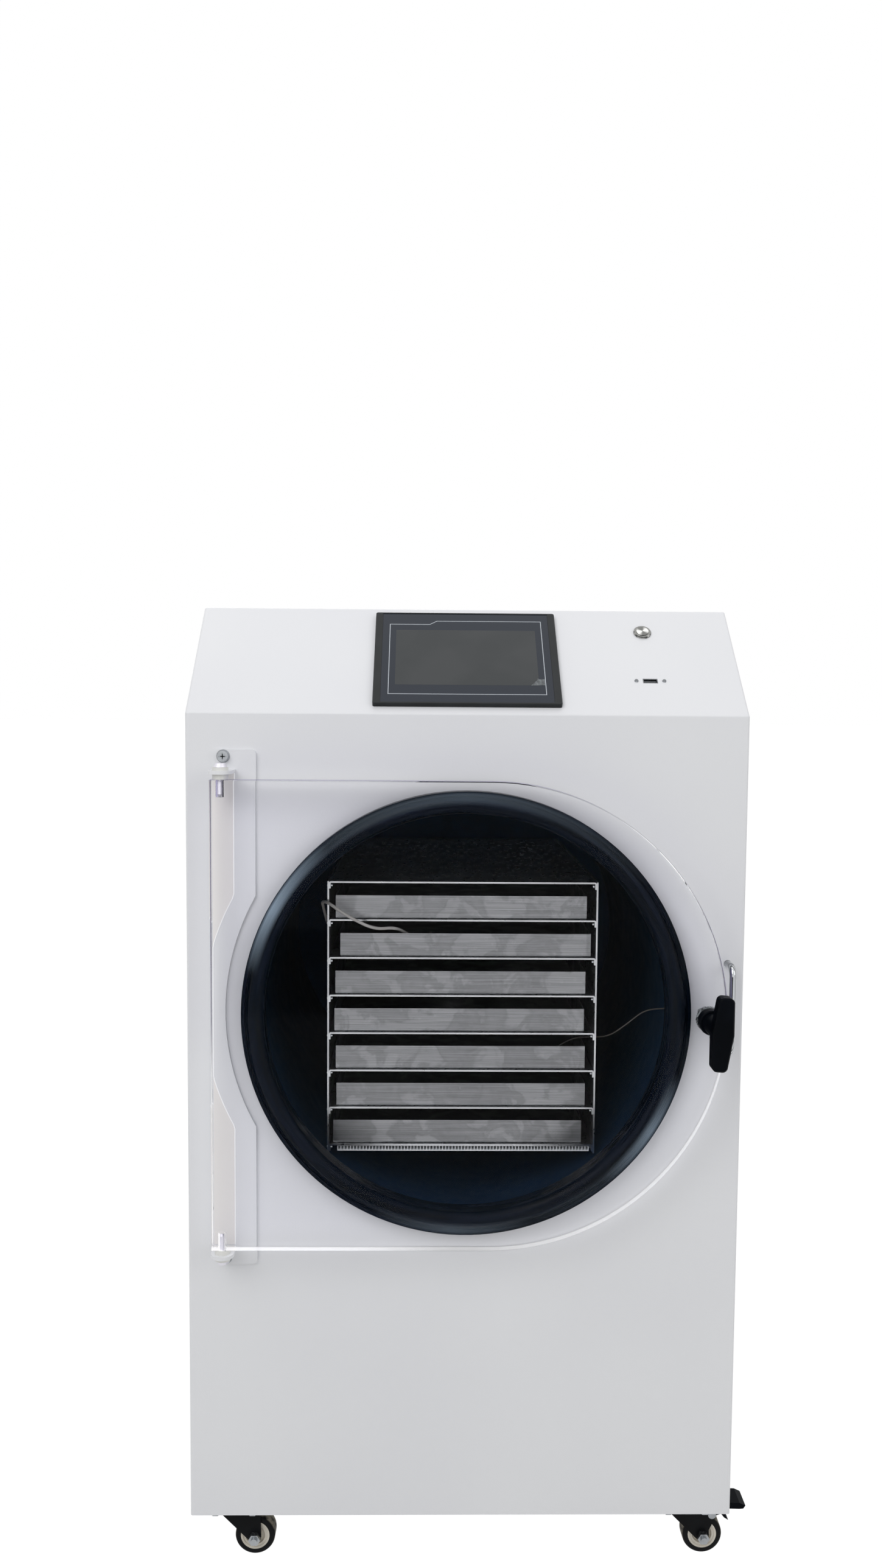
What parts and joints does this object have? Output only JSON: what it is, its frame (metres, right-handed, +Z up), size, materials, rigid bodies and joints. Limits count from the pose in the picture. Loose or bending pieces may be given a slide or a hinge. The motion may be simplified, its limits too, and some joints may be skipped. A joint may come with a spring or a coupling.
{
  "type": "freeze dryer",
  "caption": "Floor-standing freeze dryer: cabinet on casters with a round vacuum chamber behind a hinged clear door, tray rack inside and a touch screen on the slope.",
  "frame": {"origin": "on the floor under the middle of the whole machine's box, handle, rear port, drain valve and brake pedal included", "axes": "+X to the operator's right, +Y from the front to the back, +Z up"},
  "size_m": [0.7254, 0.8622, 1.195],
  "materials": {
    "white_powder": "satin powder coat, fine orange peel",
    "frame_paint": "semi-matt grey paint",
    "black_paint": "semi-gloss black paint",
    "zinc_steel": "bright zinc plate",
    "polished_chrome": "polished",
    "button_metal": "satin plated",
    "chamber_steel": "dull rolled stainless",
    "stainless": "satin",
    "tray_steel": "brushed, water-marked",
    "copper": "drawn copper tube",
    "plated_brass": "nickel plated",
    "fin_aluminium": "mill finish",
    "black_foam": "matt closed-cell foam",
    "seal_rubber": "moulded, slightly glossy",
    "tread_rubber": "matt",
    "clear_acrylic": "polished clear sheet",
    "screen_glass": "glossy, switched off",
    "screen_plastic": "fine texture",
    "black_plastic": "satin",
    "white_nylon": "smooth",
    "cream_plastic": "smooth",
    "twin_wall_plastic": "translucent white",
    "lead_sheath": "smooth"
  },
  "bodies": {
    "cabinet": {"base_frame": "frame_paint", "front_panel": "white_powder", "left_side_panel": "white_powder", "right_side_panel": "white_powder", "top_panel": "white_powder", "rear_panel": "white_powder", "panel_screws": "zinc_steel", "vacuum_chamber": "chamber_steel", "chamber_insulation": "black_foam", "evaporator_coil": "copper", "door_gasket": "seal_rubber", "hinge_strap": "white_powder", "pivot_bushes": "white_nylon", "keeper_bar": "polished_chrome", "touchscreen_housing": "screen_plastic", "touchscreen_glass": "screen_glass", "button_bezel": "button_metal", "usb_port": "zinc_steel", "rack_left_side": "stainless", "rack_right_side": "stainless", "rack_shelves": "stainless", "rack_screws": "zinc_steel", "tray_1": "tray_steel", "tray_2": "tray_steel", "tray_3": "tray_steel", "tray_4": "tray_steel", "tray_5": "tray_steel", "tray_6": "tray_steel", "tray_7": "tray_steel", "insulating_board": "twin_wall_plastic", "probe_leads": "lead_sheath", "caster_plates": "zinc_steel", "compressor": "black_paint", "condenser": "fin_aluminium", "fan_shroud": "black_paint", "vacuum_port": "stainless", "power_inlet": "black_plastic", "drain_valve": "plated_brass"},
    "door": {"door_panel": "clear_acrylic", "pivot_screws": "zinc_steel", "latch_nut": "zinc_steel", "latch_collar": "black_plastic"},
    "latch": {"latch_spindle": "zinc_steel", "latch_handle": "black_plastic"},
    "power_button": {"button_cap": "button_metal"},
    "front_left_fork": {"caster_front_left_fork": "black_paint"},
    "front_left_wheel": {"caster_front_left_tyre": "tread_rubber", "caster_front_left_core": "cream_plastic"},
    "front_right_fork": {"caster_front_right_fork": "black_paint"},
    "front_right_wheel": {"caster_front_right_tyre": "tread_rubber", "caster_front_right_core": "cream_plastic"},
    "rear_left_fork": {"caster_rear_left_fork": "black_paint"},
    "rear_left_wheel": {"caster_rear_left_tyre": "tread_rubber", "caster_rear_left_core": "cream_plastic"},
    "rear_right_fork": {"caster_rear_right_fork": "black_paint"},
    "rear_right_wheel": {"caster_rear_right_tyre": "tread_rubber", "caster_rear_right_core": "cream_plastic"},
    "pedal": {"brake_pedal": "black_plastic"},
    "fan": {"fan_impeller": "fin_aluminium"},
    "drain_handle": {"drain_lever": "black_plastic"}
  },
  "joints": [
    {"name": "door_hinge", "type": "hinge", "parent": "cabinet", "child": "door", "pos_m": [-0.28575, -0.35115, 0.706], "axis": [0, 0, -1], "range_deg": [0, 170]},
    {"name": "latch_turn", "type": "hinge", "parent": "door", "child": "latch", "pos_m": [0.28575, -0.37885, 0.708], "axis": [0, 1, 0], "range_deg": [-66, 4]},
    {"name": "button_press", "type": "slide", "parent": "cabinet", "child": "power_button", "axis": [0, 0.7098, -0.7044], "range_m": [0, 0.0015], "stiffness_N_per_m": 300, "springref_m": -0.002},
    {"name": "front_left_swivel", "type": "hinge", "parent": "cabinet", "child": "front_left_fork", "pos_m": [-0.28075, -0.28285, 0.06], "axis": [0, 0, 1], "continuous": true},
    {"name": "front_left_roll", "type": "hinge", "parent": "front_left_fork", "child": "front_left_wheel", "pos_m": [-0.25675, -0.28285, 0.025], "axis": [0, 1, 0], "continuous": true},
    {"name": "front_right_swivel", "type": "hinge", "parent": "cabinet", "child": "front_right_fork", "pos_m": [0.28525, -0.28285, 0.06], "axis": [0, 0, 1], "continuous": true},
    {"name": "front_right_roll", "type": "hinge", "parent": "front_right_fork", "child": "front_right_wheel", "pos_m": [0.30925, -0.28285, 0.025], "axis": [0, 1, 0], "continuous": true},
    {"name": "rear_left_swivel", "type": "hinge", "parent": "cabinet", "child": "rear_left_fork", "pos_m": [-0.28075, 0.36515, 0.06], "axis": [0, 0, 1], "continuous": true},
    {"name": "rear_left_roll", "type": "hinge", "parent": "rear_left_fork", "child": "rear_left_wheel", "pos_m": [-0.25675, 0.36515, 0.025], "axis": [0, 1, 0], "continuous": true},
    {"name": "rear_right_swivel", "type": "hinge", "parent": "cabinet", "child": "rear_right_fork", "pos_m": [0.28525, 0.36515, 0.06], "axis": [0, 0, 1], "continuous": true},
    {"name": "rear_right_roll", "type": "hinge", "parent": "rear_right_fork", "child": "rear_right_wheel", "pos_m": [0.30925, 0.36515, 0.025], "axis": [0, 1, 0], "continuous": true},
    {"name": "brake_press", "type": "hinge", "parent": "front_right_fork", "child": "pedal", "pos_m": [0.32025, -0.28285, 0.054], "axis": [0, 1, 0], "range_deg": [0, 20]},
    {"name": "fan_spin", "type": "hinge", "parent": "cabinet", "child": "fan", "pos_m": [0.00225, 0.29115, 0.197], "axis": [0, 1, 0], "continuous": true},
    {"name": "drain_turn", "type": "hinge", "parent": "cabinet", "child": "drain_handle", "pos_m": [-0.34475, 0.08115, 0.316], "axis": [0, 0, 1], "range_deg": [0, 90]}
  ]
}
